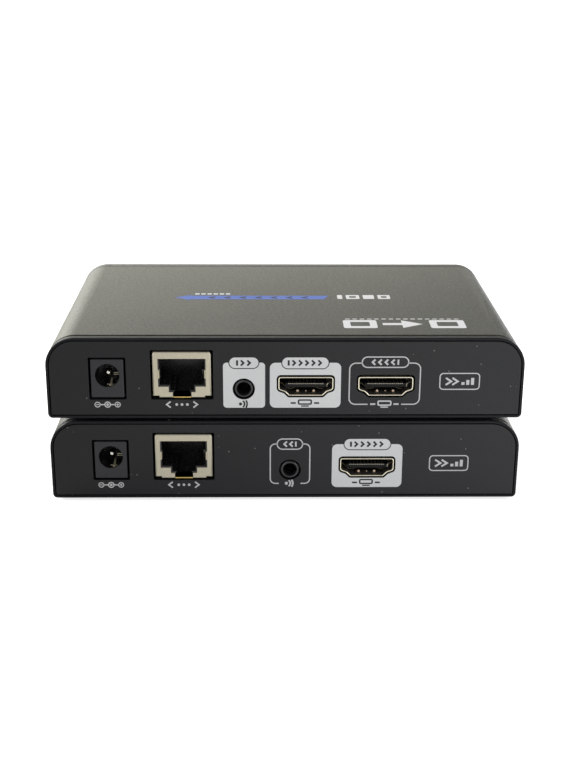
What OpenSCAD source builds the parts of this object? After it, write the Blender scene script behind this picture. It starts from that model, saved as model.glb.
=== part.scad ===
// Long-run video extender: a sender box resting on a matching receiver box.
// X runs along the port side, the ports face -Y and Z is up, in millimetres.
// Each box is a folded metal cover over a metal tray, closed by two plastic
// end bezels with inset plates, and holds one circuit board with its sockets.

/* [Case] */
// outside width of each box
case_w = 130; // [128:1:150]
// outside depth of each box, from bezel face to bezel face
case_d = 80; // [78:1:110]
// distance from the network socket's top to the outside of the cover's top
head_room = 3.95; // [3.2:0.05:8]
// outside radius of the two long upper shoulders
shoulder_r = 8; // [6:0.5:9]
// outside radius of the two long lower edges
base_r = 1.3; // [1.1:0.1:1.6]
// thickness of the metal cover and tray
sheet_t = 1; // [0.8:0.1:1.2]
// gap between the cover's end and the bezel band
seam = 0.15; // [0.1:0.05:0.3]
// height of each rubber foot
foot_h = 1; // [0.8:0.1:3]
// radius of each rubber foot
foot_r = 4.5; // [3:0.5:6]

/* [Bezels] */
// depth of the bezel band seen from the side
band_d = 3; // [2.5:0.5:4]
// width of the bezel's front rim
rim_w = 0.7; // [0.6:0.05:0.95]
// width of the groove between rim and plate
groove_w = 0.25; // [0.2:0.05:0.4]
// thickness of the inset plate
plate_t = 1.5; // [1.2:0.1:1.8]
// distance from the outside of the case to the bezel's opening
opening_inset = 2.5; // [2.1:0.1:2.6]
// length of the sleeve that the bezel pushes into the cover
sleeve_d = 6; // [5.6:0.2:7]
// wall thickness of that sleeve
sleeve_t = 1.5; // [1.2:0.1:1.8]
// slip clearance between the sleeve and the cover
slip = 0.1; // [0.05:0.05:0.2]

/* [Board] */
// distance from the tray's plate to the board's underside
board_lift = 3.35; // [3.2:0.05:4]
// thickness of the circuit board
board_t = 1.6; // [1.2:0.2:1.6]
// distance from the outside of the case to the board's side edge
board_in = 5; // [4:0.5:6]
// radius of each board boss
boss_r = 3; // [2.6:0.2:4]
// distance of the board bosses from the outside of the case's sides
boss_in = 9.5; // [9:0.5:12]
// distance of the board bosses from the back of the power socket
boss_room = 6; // [4:0.5:8]

/* [Screws] */
// shank radius of every screw
screw_r = 1.25; // [1:0.05:1.3]
// head radius of the countersunk case screws
csk_r = 2.25; // [2:0.05:2.4]
// length of the case screws, head included
screw_l = 6; // [5:0.5:6]
// head radius of the board screws
pan_r = 2.2; // [2:0.1:2.5]
// head height of the board screws
pan_h = 1.4; // [1:0.1:1.8]
// radial clearance round every screw
screw_gap = 0.05; // [0.05:0.05:0.15]

/* [Power socket] */
// distance from the side of the case to the middle of the power socket
power_in = 16.6; // [15.5:0.1:17]
// width of the power socket body
power_w = 9; // [8.6:0.1:9.2]
// height of the power socket body
power_h = 11; // [10.6:0.1:11.2]
// depth of the power socket body
power_d = 13.9; // [13:0.1:14.5]
// radius of its mouth
power_hole_r = 3.3; // [3:0.05:3.4]
// height of the mouth's centre above the board
power_hole_z = 6.35; // [6.2:0.05:6.6]
// depth of the mouth
power_hole_d = 9.5; // [9:0.5:10]
// radius of its centre pin
power_pin_r = 1; // [0.8:0.05:1.25]

/* [Network socket] */
// distance from the middle of the power socket to that of the network socket
power_to_lan = 20.2; // [19:0.1:21]
// width of the network socket's shield
lan_w = 15.9; // [15.6:0.1:16.2]
// height of the network socket's shield
lan_h = 13.1; // [12.9:0.1:13.6]
// depth of the network socket's shield
lan_d = 20.8; // [19:0.2:21]
// thickness of the shield
lan_t = 0.4; // [0.3:0.05:0.45]
// depth of its mouth
lan_mouth_d = 13; // [12:0.5:14]

/* [Video sockets] */
// distance from the sender's remote eye socket to its loop-out socket
eye_to_out = 16.9; // [16:0.1:18]
// distance between the sender's two video sockets
out_to_in = 21.8; // [19:0.05:23]
// distance from the receiver's remote eye socket to its video socket
eye_to_rx_video = 21.5; // [18:0.05:26]
// width of a video socket's shell
video_w = 15; // [14.6:0.1:15.4]
// height of a video socket's shell
video_h = 5.4; // [5.2:0.05:5.8]
// width of the shell's narrow lower side
video_low_w = 9.8; // [9.4:0.1:10.2]
// height of the shell's sloping lower part
video_slope_h = 1.9; // [1.7:0.1:2.2]
// depth of a video socket's shell
video_d = 11.9; // [11:0.1:12.5]
// thickness of the shell
video_t = 0.4; // [0.3:0.05:0.5]
// height of the shell's underside above the board
video_lift = 0.5; // [0.3:0.05:0.6]

/* [Remote eye socket] */
// distance from the sender's network socket to its remote eye socket
lan_to_eye = 16.8; // [15:0.05:18]
// distance from the receiver's network socket to its remote eye socket
lan_to_rx_eye = 29.5; // [15:0.1:31]
// outside radius of the round nose
eye_nose_r = 2.7; // [2.5:0.05:3]
// radius of its bore
eye_r = 1.8; // [1.75:0.05:1.85]
// height of the bore's centre above the board
eye_z = 2.5; // [2.4:0.05:2.6]
// width of the socket body
eye_w = 7; // [6.4:0.2:7.4]
// height of the socket body
eye_h = 5.4; // [5.2:0.1:5.8]
// depth of the bore
eye_bore_d = 12.4; // [11:0.1:12.6]

/* [Indicator side] */
// place of the power light, as a share of the width
light_a_share = 0.3; // [0.25:0.01:0.35]
// place of the link light, as a share of the width
light_b_share = 0.22; // [0.18:0.01:0.23]
// place of the reset button, as a share of the width
button_share = -0.3; // [-0.35:0.01:-0.2]
// height of lights and button above the case's underside
control_z = 11.5; // [11:0.5:12]
// radius of a light pipe
pipe_r = 1.45; // [1:0.05:2]
// radius of the reset button
button_r = 1.9; // [1.5:0.1:2.5]
// travel of the reset button
button_travel = 0.25; // [0.2:0.05:0.25]

/* [Hidden] */
$fn = 64;
// how far a cut runs past the face it leaves
cut = 0.5;
// a lower corner smaller than this is drawn square
least_r = 0.1;
// heights of the board's faces, and outside height of each box without its feet
board_z = sheet_t + board_lift;
board_top = board_z + board_t;
case_h = board_top + lan_h + head_room;
// front and rear faces of the case
front_y = -case_d / 2;
rear_y = case_d / 2;
// inset of the plate's edge from the outside of the case
plate_inset = rim_w + groove_w;
// inset of the bezel's sleeve, outside and inside
sleeve_inset = sheet_t + slip;
sleeve_hollow = sleeve_inset + sleeve_t;
// half the length of cover and tray
cover_half = case_d / 2 - band_d - seam;
tray_half_w = case_w / 2 - sheet_t - slip;
// half-length of the tray's side flanges
flange_gap = 1.2;
flange_half = case_d / 2 - band_d - sleeve_d - flange_gap;
// places of the case screws
case_screw_in = 6.5;
case_screw_x = case_w / 2 - case_screw_in;
case_screw_y = case_d / 2 - band_d - sleeve_d / 2;
side_screw_y = 20;
side_screw_z = 11;
flange_over = 3;
flange_h = side_screw_z + flange_over;
// screw boss of the bezel
bezel_boss_half = 3;
bore_spare = 0.6;
boss_roof = 1.4;
bezel_bore_top = screw_l + bore_spare;
bezel_boss_top = bezel_bore_top + boss_roof;
sleeve_bite = 0.5;
// cross recess of a screw head
recess_l = 2.4;
recess_w = 0.5;
recess_d = 0.6;
// places of the rubber feet and how much they narrow to the floor
foot_in_x = 16;
foot_in_y = 14;
foot_x = case_w / 2 - foot_in_x;
foot_y = case_d / 2 - foot_in_y;
foot_taper = 0.4;
// air slots under the board
vent_count = 9;
vent_w = 2;
vent_l = 22;
vent_pitch = 5;
// the board
board_front = 2.8;
board_rear = 4;
board_w = case_w - 2 * board_in;
board_d = case_d - board_front - board_rear;
board_mid = (board_front - board_rear) / 2;
notch_room = 4;
notch_in = case_screw_in + notch_room;
notch_d = 10;
tip_rise = 0.75;
bore_floor = 0.45;
board_screw_l = board_lift + board_t - tip_rise;
// the sockets' faces stand just behind the plate's face
socket_back = 0.1;
socket_y = front_y + socket_back;
boss_x = case_w / 2 - boss_in;
boss_y = case_d / 2 - socket_back - power_d - boss_room;
// clearance of the plate's openings
port_gap = 0.55;
port_low = 0.55;
port_high = 0.5;
nose_gap = 0.35;
video_gap = 0.45;
// power socket
power_x = power_in - case_w / 2;
pin_back = 2.5;
stem_r = 0.7;
stem_gap = 0.05;
tab_w = 3;
tab_t = 0.4;
tab_rise = 1.4;
leaf_t = 0.3;
leaf_h = 1.4;
leaf_back = 3;
leaf_x = 2.8;
// network socket
lan_x = power_x + power_to_lan;
lan_fit = 0.05;
lan_corner = 0.5;
lan_notch_w = 1.9;
lan_notch_h = 0.45;
lan_notch_d = 2.4;
lan_mouth_w = 12.95;
lan_mouth_low = 3.15;
lan_brow = 2;
lan_mouth_top = lan_h - lan_brow;
lan_step_w = 7.3;
lan_step_low = 1.55;
lan_slot_w = 4.95;
lan_slot_low = 0.25;
lan_wires = 8;
lan_pitch = 1.02;
wire_w = 0.4;
wire_l = 9;
wire_back = 1.5;
wire_drop = 15;
// places of the remaining sockets, each from the one before it
tx_eye = lan_x + lan_to_eye;
rx_eye = lan_x + lan_to_rx_eye;
tx_videos = [tx_eye + eye_to_out, tx_eye + eye_to_out + out_to_in];
rx_videos = [rx_eye + eye_to_rx_video];
// video sockets
video_z = board_top + video_lift;
slope_share = 0.4;
video_fit = 0.05;
block_d = 1.5;
tongue_w = 11.4;
tongue_t = 1.2;
tongue_z = 1.9;
tongue_back = 1.5;
leg_l = 2;
leg_top = 4.6;
leg_first = 5;
leg_step = 4;
pad_w = 0.4;
pad_t = 0.15;
pad_l = 7.5;
pad_pitch = 1;
pads_up = 10;
pads_down = 9;
// remote eye socket
nose_step = 0.1;
eye_body_y = front_y + board_front - nose_step;
eye_d = 14;
eye_tab_t = 0.3;
eye_tab_l = 3;
eye_tab_h = 3.6;
eye_tab_first = 5;
// parts on the board: places as shares of its width and depth from its middle
processor_shares = [0.067, 0.05];
processor_w = 14;
processor_h = 1.4;
transceiver_shares = [-0.233, 0.06];
transceiver_w = 9;
transceiver_h = 1;
memory_shares = [-0.1, 0.17];
memory_w = 5;
memory_d = 6;
memory_h = 1.6;
// one driver chip behind each video socket
driver_w = 5;
driver_h = 0.9;
driver_gap = 2;
// transformer block behind the network socket
magnetics_w = 16;
magnetics_d = 8;
magnetics_h = 5.5;
magnetics_gap = 2;
// coils and capacitors of the power supply
coil_shares = [[-0.367, 0.18], [0.25, 0.2]];
coil_w = 7;
coil_h = 3;
coil_cap_r = 2.9;
coil_cap_h = 0.8;
can_shares = [[-0.417, -0.09], [-0.35, -0.09], [-0.417, 0.05], [0.333, 0.06], [0.333, 0.17]];
can_r = 3.15;
can_h = 7.7;
can_groove_r = 2.95;
can_groove_h = 0.6;
// heat sink on the processor
sink_w = 22;
sink_base = 1.6;
sink_fins = 8;
fin_t = 1;
fin_h = 5;
// lights and button
light_xs = [light_a_share * case_w, light_b_share * case_w];
button_x = button_share * case_w;
led_w = 4;
led_d = 3;
led_rise = 2;
led_r = 1.5;
led_nose = 0.8;
pipe_gap = 0.05;
pipe_l = 6;
pipe_collar_r = 2.3;
pipe_collar_l = 1.6;
collar_gap = 0.1;
button_gap = 0.1;
button_back = 0.1;
button_l = 5.4;
button_collar_r = 2.9;
button_collar_l = 1.4;
button_collar_gap = 0.2;
press_gap = 0.05;
plunger_r = 1.2;
plunger_l = 1.2;
switch_w = 6;
switch_d = 4;
switch_rise = 3;
// heights of the two boxes in the stack
rx_z = foot_h;
tx_z = foot_h + case_h + foot_h;

// a quarter of a disc in the first quadrant
module quarter_disc(r) {
    intersection() {
        circle(r = r);
        square(r);
    }
}

// right half of an outline that stands on z = 0
module half_outline(w, h, r_up, r_low) {
    square([w / 2 - r_up, h]);
    translate([w / 2 - r_up, r_low]) square([r_up, h - r_up - r_low]);
    translate([w / 2 - r_up, h - r_up]) quarter_disc(r_up);
    if (r_low > 0) {
        translate([w / 2 - r_up, 0]) square([r_up - r_low, r_low]);
        translate([w / 2 - r_low, r_low]) mirror([0, 1]) quarter_disc(r_low);
    }
}

// outline with two large upper corners and two small lower ones
module outline(w, h, r_up, r_low) {
    half_outline(w, h, r_up, r_low);
    mirror([1, 0]) half_outline(w, h, r_up, r_low);
}

// the outline of the case, drawn a given distance inside its outside
module case_shape(inset) {
    translate([0, inset])
        outline(
            case_w - 2 * inset, case_h - 2 * inset, shoulder_r - inset,
            base_r - inset > least_r ? base_r - inset : 0
        );
}

// a flat shape given thickness t along Y from y0
module slab(y0, t) {
    translate([0, y0 + t, 0]) rotate([90, 0, 0]) linear_extrude(height = t) children();
}

// a round bar along Y
module bar(x, y0, z, r, l) {
    translate([x, y0, z]) rotate([-90, 0, 0]) cylinder(r = r, h = l);
}

// a block centred on x, standing on z, from y0
module block(x, y0, z, w, d, h) {
    translate([x - w / 2, y0, z]) cube([w, d, h]);
}

// puts its children on the board at a place given in shares of its sides
module on_board(shares) {
    translate([shares[0] * board_w, board_mid + shares[1] * board_d, board_top]) children();
}

module four_corners(x, y) {
    for (sx = [-1, 1])
        for (sy = [-1, 1])
            translate([sx * x, sy * y, 0]) children();
}

module rear() {
    mirror([0, 1, 0]) children();
}

// heads flush with the outside: four in the tray, four in the cover's sides
module at_tray_screws() {
    four_corners(case_screw_x, case_screw_y) children();
}

module at_side_screws() {
    for (sx = [-1, 1])
        for (sy = [-1, 1])
            translate([sx * case_w / 2, sy * side_screw_y, side_screw_z])
                rotate([0, -90 * sx, 0]) children();
}

// the room a case screw needs in the sheets
module screw_room() {
    translate([0, 0, -cut]) cylinder(r = csk_r + screw_gap, h = cut);
    cylinder(r1 = csk_r + screw_gap, r2 = screw_r + screw_gap, h = sheet_t);
    translate([0, 0, sheet_t]) cylinder(r = screw_r + screw_gap, h = sheet_t + slip + cut);
}

module cross_recess() {
    for (a = [0, 90])
        rotate([0, 0, a]) translate([-recess_l / 2, -recess_w / 2, -cut])
            cube([recess_l, recess_w, cut + recess_d]);
}

module case_screw() {
    difference() {
        union() {
            cylinder(r1 = csk_r, r2 = screw_r, h = sheet_t);
            translate([0, 0, sheet_t]) cylinder(r = screw_r, h = screw_l - sheet_t);
        }
        cross_recess();
    }
}

module case_screws() {
    color("DimGray") {
        at_tray_screws() case_screw();
        at_side_screws() case_screw();
    }
}

// folded cover: flat top, two shoulders and two sides
module top_cover() {
    color("DarkSlateGray") difference() {
        slab(-cover_half, 2 * cover_half) case_shape(0);
        slab(-cover_half - cut, 2 * cover_half + 2 * cut) translate([0, -cut])
            outline(case_w - 2 * sheet_t, case_h - sheet_t + cut, shoulder_r - sheet_t, 0);
        at_side_screws() screw_room();
    }
}

// tray: floor, side flanges and board bosses
module bottom_cover() {
    color("SlateGray") difference() {
        union() {
            block(0, -cover_half, 0, 2 * tray_half_w, 2 * cover_half, sheet_t);
            for (sx = [-1, 1])
                block(sx * (tray_half_w - sheet_t / 2), -flange_half, 0, sheet_t, 2 * flange_half, flange_h);
            four_corners(boss_x, boss_y) cylinder(r = boss_r, h = board_z);
        }
        four_corners(boss_x, boss_y) translate([0, 0, sheet_t + bore_floor])
            cylinder(r = screw_r + screw_gap, h = board_lift + cut);
        at_tray_screws() screw_room();
        at_side_screws() screw_room();
        for (i = [0:vent_count - 1])
            block((i - (vent_count - 1) / 2) * vent_pitch, -vent_l / 2, -cut, vent_w, vent_l, sheet_t + 2 * cut);
    }
}

// end cap: a band as tall as the case, a ledge for the plate and a sleeve
module bezel() {
    color("Black") difference() {
        union() {
            difference() {
                union() {
                    slab(front_y, band_d) case_shape(0);
                    slab(front_y + band_d, sleeve_d) case_shape(sleeve_inset);
                }
                slab(front_y - cut, cut + plate_t) case_shape(rim_w);
                slab(front_y, band_d + sleeve_d + cut) case_shape(max(opening_inset, sleeve_hollow));
                slab(front_y, band_d) case_shape(opening_inset);
            }
            for (sx = [-1, 1])
                bezel_boss(sx);
        }
        for (sx = [-1, 1])
            translate([sx * case_screw_x, -case_screw_y, 0])
                cylinder(r = screw_r + screw_gap, h = bezel_bore_top);
    }
}

// screw boss in a lower corner of the sleeve, joined to its side wall
module bezel_boss(sx) {
    inner = case_screw_x - bezel_boss_half;
    outer = case_w / 2 - sleeve_hollow + sleeve_bite;
    translate([sx > 0 ? inner : -outer, front_y + band_d, sleeve_inset])
        cube([outer - inner, sleeve_d, bezel_boss_top - sleeve_inset]);
}

module connector_bezel() {
    bezel();
}

module indicator_bezel() {
    rear() bezel();
}

module connector_plate(videos, eye) {
    color("DarkSlateGray") difference() {
        slab(front_y, plate_t) case_shape(plate_inset);
        slab(front_y - cut, plate_t + 2 * cut) {
            translate([power_x - power_w / 2 - port_gap, board_top - port_low])
                square([power_w + 2 * port_gap, power_h + port_low + port_high]);
            translate([lan_x - lan_w / 2 - port_gap, board_top - port_low])
                square([lan_w + 2 * port_gap, lan_h + port_low + port_high]);
            translate([eye, board_top + eye_z]) circle(r = eye_nose_r + nose_gap);
            for (x = videos)
                translate([x, video_z]) shell_shape(-video_gap);
        }
    }
}

module indicator_plate() {
    color("DarkSlateGray") difference() {
        rear() slab(front_y, plate_t) case_shape(plate_inset);
        for (x = light_xs)
            bar(x, rear_y - plate_t - cut, control_z, pipe_r + pipe_gap, plate_t + 2 * cut);
        bar(button_x, rear_y - plate_t - cut, control_z, button_r + button_gap, plate_t + 2 * cut);
    }
}

module rubber_feet() {
    color("Black") four_corners(foot_x, foot_y) translate([0, 0, -foot_h])
        cylinder(r1 = foot_r - foot_taper, r2 = foot_r, h = foot_h);
}

module circuit_board() {
    color("DarkGreen") difference() {
        block(0, front_y + board_front, board_z, board_w, board_d, board_t);
        four_corners(case_w / 2, case_d / 2) translate([-notch_in, -notch_d, board_z - cut])
            cube([2 * notch_in, 2 * notch_d, board_t + 2 * cut]);
        four_corners(boss_x, boss_y) translate([0, 0, board_z - cut])
            cylinder(r = screw_r + screw_gap, h = board_t + 2 * cut);
    }
}

module board_screws() {
    color("Silver") four_corners(boss_x, boss_y) translate([0, 0, board_top]) difference() {
        union() {
            cylinder(r = pan_r, h = pan_h);
            translate([0, 0, -board_screw_l]) cylinder(r = screw_r, h = board_screw_l);
        }
        translate([0, 0, pan_h]) mirror([0, 0, 1]) cross_recess();
    }
}

module power_jack_housing() {
    z = board_top + power_hole_z;
    color("DimGray") difference() {
        block(power_x, socket_y, board_top, power_w, power_d, power_h);
        bar(power_x, socket_y - cut, z, power_hole_r, power_hole_d + cut);
        bar(power_x, socket_y + power_hole_d - cut, z, stem_r + stem_gap, power_d - power_hole_d + 2 * cut);
    }
}

// centre pin with its rear tab, and the leaf that touches the plug's sleeve
module power_jack_contacts() {
    z = board_top + power_hole_z;
    back = socket_y + power_d;
    color("Silver") {
        bar(power_x, socket_y + pin_back, z, power_pin_r, power_hole_d - pin_back);
        bar(power_x, socket_y + power_hole_d, z, stem_r, power_d - power_hole_d + tab_t / 2);
        block(power_x, back, board_top, tab_w, tab_t, power_hole_z + tab_rise);
        translate([power_x + leaf_x, socket_y + leaf_back, z - leaf_h / 2])
            cube([leaf_t, power_hole_d - leaf_back, leaf_h]);
    }
}

module lan_face() {
    w = lan_w / 2;
    polygon(points = [
        [-w, 0], [w, 0], [w, lan_h - lan_corner], [w - lan_corner, lan_h],
        [-w + lan_corner, lan_h], [-w, lan_h - lan_corner]
    ]);
}

// plug-shaped mouth with its two latch steps
module lan_mouth() {
    translate([-lan_mouth_w / 2, lan_mouth_low])
        square([lan_mouth_w, lan_mouth_top - lan_mouth_low]);
    translate([-lan_step_w / 2, lan_step_low]) square([lan_step_w, lan_mouth_top - lan_step_low]);
    translate([-lan_slot_w / 2, lan_slot_low]) square([lan_slot_w, lan_mouth_top - lan_slot_low]);
}

// pressed metal box, open below
module lan_jack_shield() {
    color("Tan") translate([lan_x, 0, board_top]) difference() {
        slab(socket_y, lan_d) lan_face();
        block(0, socket_y + lan_t, -cut, lan_w - 2 * lan_t, lan_d - 2 * lan_t, lan_h - lan_t + cut);
        slab(socket_y - cut, lan_t + 2 * cut) lan_mouth();
        for (sx = [-1, 1])
            block(sx * lan_w / 2, socket_y - cut, -cut, 2 * lan_notch_w, lan_notch_d + cut, lan_notch_h + cut);
    }
}

module lan_jack_housing() {
    in = lan_t + lan_fit;
    color("Black") translate([lan_x, 0, board_top]) difference() {
        block(0, socket_y + in, 0, lan_w - 2 * in, lan_d - 2 * in, lan_h - in);
        slab(socket_y, lan_mouth_d) lan_mouth();
    }
}

// eight spring wires that slope down from the roof of the mouth
module lan_jack_contacts() {
    color("Gold") for (i = [0:lan_wires - 1])
        translate([
            lan_x + (i - (lan_wires - 1) / 2) * lan_pitch - wire_w / 2,
            socket_y + wire_back,
            board_top + lan_mouth_top - wire_w - lan_fit
        ])
            rotate([-wire_drop, 0, 0]) cube([wire_w, wire_l, wire_w]);
}

// six-sided outline of a video socket, drawn a given distance inside
module shell_shape(inset) {
    w = video_w / 2 - inset;
    low = video_low_w / 2 - inset * slope_share;
    side = video_slope_h + inset * slope_share;
    polygon(points = [
        [-low, inset], [low, inset], [w, side],
        [w, video_h - inset], [-w, video_h - inset], [-w, side]
    ]);
}

module video_shells(videos) {
    color("Silver") for (x = videos)
        translate([x, 0, video_z]) {
            slab(socket_y, video_d) difference() {
                shell_shape(0);
                shell_shape(video_t);
            }
            for (sx = [-1, 1])
                for (i = [0, 1])
                    block(
                        sx * (video_w - video_t) / 2, socket_y + leg_first + i * leg_step, -video_lift,
                        video_t, leg_l, leg_top + video_lift
                    );
        }
}

module video_tongues(videos) {
    color("Black") for (x = videos)
        translate([x, 0, video_z]) {
            slab(socket_y + video_d - block_d, block_d) shell_shape(video_t + video_fit);
            block(
                0, socket_y + tongue_back, tongue_z,
                tongue_w, video_d - tongue_back - block_d / 2, tongue_t
            );
        }
}

module video_pads(videos) {
    color("Gold") for (x = videos)
        translate([x, 0, video_z + tongue_z]) {
            for (i = [0:pads_up - 1])
                pad(i, pads_up, tongue_t);
            for (i = [0:pads_down - 1])
                pad(i, pads_down, -pad_t);
        }
}

// one contact strip on the tongue, ending at the block behind it
module pad(i, count, z) {
    block(
        (i - (count - 1) / 2) * pad_pitch, socket_y + video_d - block_d - pad_l, z,
        pad_w, pad_l, pad_t
    );
}

// round nose at the plate, body on the board, one bore through both
module eye_jack_housing(x) {
    color("Black") difference() {
        union() {
            bar(x, socket_y, board_top + eye_z, eye_nose_r, eye_body_y - socket_y);
            block(x, eye_body_y, board_top, eye_w, socket_y + eye_d - eye_body_y, eye_h);
        }
        bar(x, socket_y - cut, board_top + eye_z, eye_r, eye_bore_d + cut);
    }
}

module eye_jack_contacts(x) {
    color("Silver") {
        for (sx = [-1, 1])
            block(
                x + sx * (eye_w + eye_tab_t) / 2, socket_y + eye_tab_first, board_top,
                eye_tab_t, eye_tab_l, eye_tab_h
            );
        block(x, socket_y + eye_d, board_top, eye_tab_l, eye_tab_t, eye_tab_h);
    }
}

module video_processor() {
    color("Black") on_board(processor_shares)
        block(0, -processor_w / 2, 0, processor_w, processor_w, processor_h);
}

module heat_sink() {
    pitch = (sink_w - fin_t) / (sink_fins - 1);
    color("Silver") on_board(processor_shares) translate([0, 0, processor_h]) {
        block(0, -sink_w / 2, 0, sink_w, sink_w, sink_base);
        for (i = [0:sink_fins - 1])
            block((i - (sink_fins - 1) / 2) * pitch, -sink_w / 2, 0, fin_t, sink_w, sink_base + fin_h);
    }
}

// a driver behind each video socket, the line transceiver and the memory
module interface_chips(videos) {
    color("Black") {
        for (x = videos)
            block(x, socket_y + video_d + driver_gap, board_top, driver_w, driver_w, driver_h);
        on_board(transceiver_shares)
            block(0, -transceiver_w / 2, 0, transceiver_w, transceiver_w, transceiver_h);
        on_board(memory_shares)
            block(0, -memory_d / 2, 0, memory_w, memory_d, memory_h);
    }
}

module lan_transformer() {
    color("Black")
        block(lan_x, socket_y + lan_d + magnetics_gap, board_top, magnetics_w, magnetics_d, magnetics_h);
}

module filter_capacitors() {
    color("SlateBlue") for (shares = can_shares)
        on_board(shares) {
            cylinder(r = can_r, h = can_groove_h);
            translate([0, 0, can_groove_h]) cylinder(r = can_groove_r, h = can_groove_h);
            translate([0, 0, 2 * can_groove_h]) cylinder(r = can_r, h = can_h - 2 * can_groove_h);
        }
}

module power_coils() {
    color("DimGray") for (shares = coil_shares)
        on_board(shares) {
            block(0, -coil_w / 2, 0, coil_w, coil_w, coil_h);
            translate([0, 0, coil_h]) cylinder(r = coil_cap_r, h = coil_cap_h);
        }
}

module status_leds() {
    y1 = rear_y - pipe_l - 2 * collar_gap - led_nose;
    color("White") for (x = light_xs) {
        block(x, y1 - led_d, board_top, led_w, led_d, control_z - board_top + led_rise);
        bar(x, y1, control_z, led_r, led_nose);
    }
}

// clear rods that carry the lights to the plate, with a collar behind it
module light_pipes() {
    color("White") for (x = light_xs) {
        bar(x, rear_y - pipe_l, control_z, pipe_r, pipe_l);
        bar(
            x, rear_y - plate_t - collar_gap - pipe_collar_l, control_z,
            pipe_collar_r, pipe_collar_l
        );
    }
}

module reset_button() {
    color("Gray") {
        bar(button_x, rear_y - button_back - button_l, control_z, button_r, button_l);
        bar(
            button_x, rear_y - plate_t - button_collar_gap - button_collar_l, control_z,
            button_collar_r, button_collar_l
        );
    }
}

// push switch on the board, its plunger just clear of the pressed button
module reset_switch() {
    tip = rear_y - button_back - button_l - button_travel - press_gap;
    color("Silver") {
        block(
            button_x, tip - plunger_l - switch_d, board_top,
            switch_w, switch_d, control_z - board_top + switch_rise
        );
        bar(button_x, tip - plunger_l, control_z, plunger_r, plunger_l);
    }
}

module receiver() {
    translate([0, 0, rx_z]) children();
}

module sender() {
    translate([0, 0, tx_z]) children();
}

receiver() top_cover();  // receiver_top_cover
receiver() bottom_cover();  // receiver_bottom_cover
receiver() connector_bezel();  // receiver_connector_bezel
receiver() connector_plate(rx_videos, rx_eye);  // receiver_connector_plate
receiver() indicator_bezel();  // receiver_indicator_bezel
receiver() indicator_plate();  // receiver_indicator_plate
receiver() case_screws();  // receiver_case_screws
receiver() rubber_feet();  // receiver_rubber_feet
receiver() circuit_board();  // receiver_circuit_board
receiver() board_screws();  // receiver_board_screws
receiver() power_jack_housing();  // receiver_power_jack_housing
receiver() power_jack_contacts();  // receiver_power_jack_contacts
receiver() lan_jack_shield();  // receiver_lan_jack_shield
receiver() lan_jack_housing();  // receiver_lan_jack_housing
receiver() lan_jack_contacts();  // receiver_lan_jack_contacts
receiver() video_shells(rx_videos);  // receiver_video_jack_shell
receiver() video_tongues(rx_videos);  // receiver_video_jack_tongue
receiver() video_pads(rx_videos);  // receiver_video_jack_contacts
receiver() eye_jack_housing(rx_eye);  // receiver_eye_jack_housing
receiver() eye_jack_contacts(rx_eye);  // receiver_eye_jack_contacts
receiver() video_processor();  // receiver_video_processor
receiver() heat_sink();  // receiver_heat_sink
receiver() interface_chips(rx_videos);  // receiver_interface_chips
receiver() lan_transformer();  // receiver_lan_transformer
receiver() filter_capacitors();  // receiver_filter_capacitors
receiver() power_coils();  // receiver_power_coils
receiver() status_leds();  // receiver_status_leds
receiver() light_pipes();  // receiver_light_pipes
receiver() reset_switch();  // receiver_reset_switch
receiver() reset_button();  // receiver_reset_button
sender() top_cover();  // sender_top_cover
sender() bottom_cover();  // sender_bottom_cover
sender() connector_bezel();  // sender_connector_bezel
sender() connector_plate(tx_videos, tx_eye);  // sender_connector_plate
sender() indicator_bezel();  // sender_indicator_bezel
sender() indicator_plate();  // sender_indicator_plate
sender() case_screws();  // sender_case_screws
sender() rubber_feet();  // sender_rubber_feet
sender() circuit_board();  // sender_circuit_board
sender() board_screws();  // sender_board_screws
sender() power_jack_housing();  // sender_power_jack_housing
sender() power_jack_contacts();  // sender_power_jack_contacts
sender() lan_jack_shield();  // sender_lan_jack_shield
sender() lan_jack_housing();  // sender_lan_jack_housing
sender() lan_jack_contacts();  // sender_lan_jack_contacts
sender() video_shells(tx_videos);  // sender_video_jack_shells
sender() video_tongues(tx_videos);  // sender_video_jack_tongues
sender() video_pads(tx_videos);  // sender_video_jack_contacts
sender() eye_jack_housing(tx_eye);  // sender_eye_jack_housing
sender() eye_jack_contacts(tx_eye);  // sender_eye_jack_contacts
sender() video_processor();  // sender_video_processor
sender() heat_sink();  // sender_heat_sink
sender() interface_chips(tx_videos);  // sender_interface_chips
sender() lan_transformer();  // sender_lan_transformer
sender() filter_capacitors();  // sender_filter_capacitors
sender() power_coils();  // sender_power_coils
sender() status_leds();  // sender_status_leds
sender() light_pipes();  // sender_light_pipes
sender() reset_switch();  // sender_reset_switch
sender() reset_button();  // sender_reset_button
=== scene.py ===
import math

import bmesh
import bpy
from mathutils import Matrix, Vector
from mathutils.geometry import tessellate_polygon


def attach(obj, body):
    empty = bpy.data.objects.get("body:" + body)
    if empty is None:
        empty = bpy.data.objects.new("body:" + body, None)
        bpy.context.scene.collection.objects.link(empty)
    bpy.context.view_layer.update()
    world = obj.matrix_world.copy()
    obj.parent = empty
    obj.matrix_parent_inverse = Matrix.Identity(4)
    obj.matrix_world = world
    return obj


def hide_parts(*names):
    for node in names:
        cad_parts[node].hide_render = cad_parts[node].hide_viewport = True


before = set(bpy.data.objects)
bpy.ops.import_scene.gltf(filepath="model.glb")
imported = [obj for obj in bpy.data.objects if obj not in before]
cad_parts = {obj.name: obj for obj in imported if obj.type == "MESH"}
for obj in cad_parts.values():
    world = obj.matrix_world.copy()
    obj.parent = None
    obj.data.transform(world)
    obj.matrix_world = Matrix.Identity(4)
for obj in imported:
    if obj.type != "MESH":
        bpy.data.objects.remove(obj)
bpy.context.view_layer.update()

# Sizes of one box in millimetres, as in the part's source
MM = 0.001
W, D, H = 130.0, 80.0, 23.0
SHOULDER, BASE = 8.0, 1.3
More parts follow.
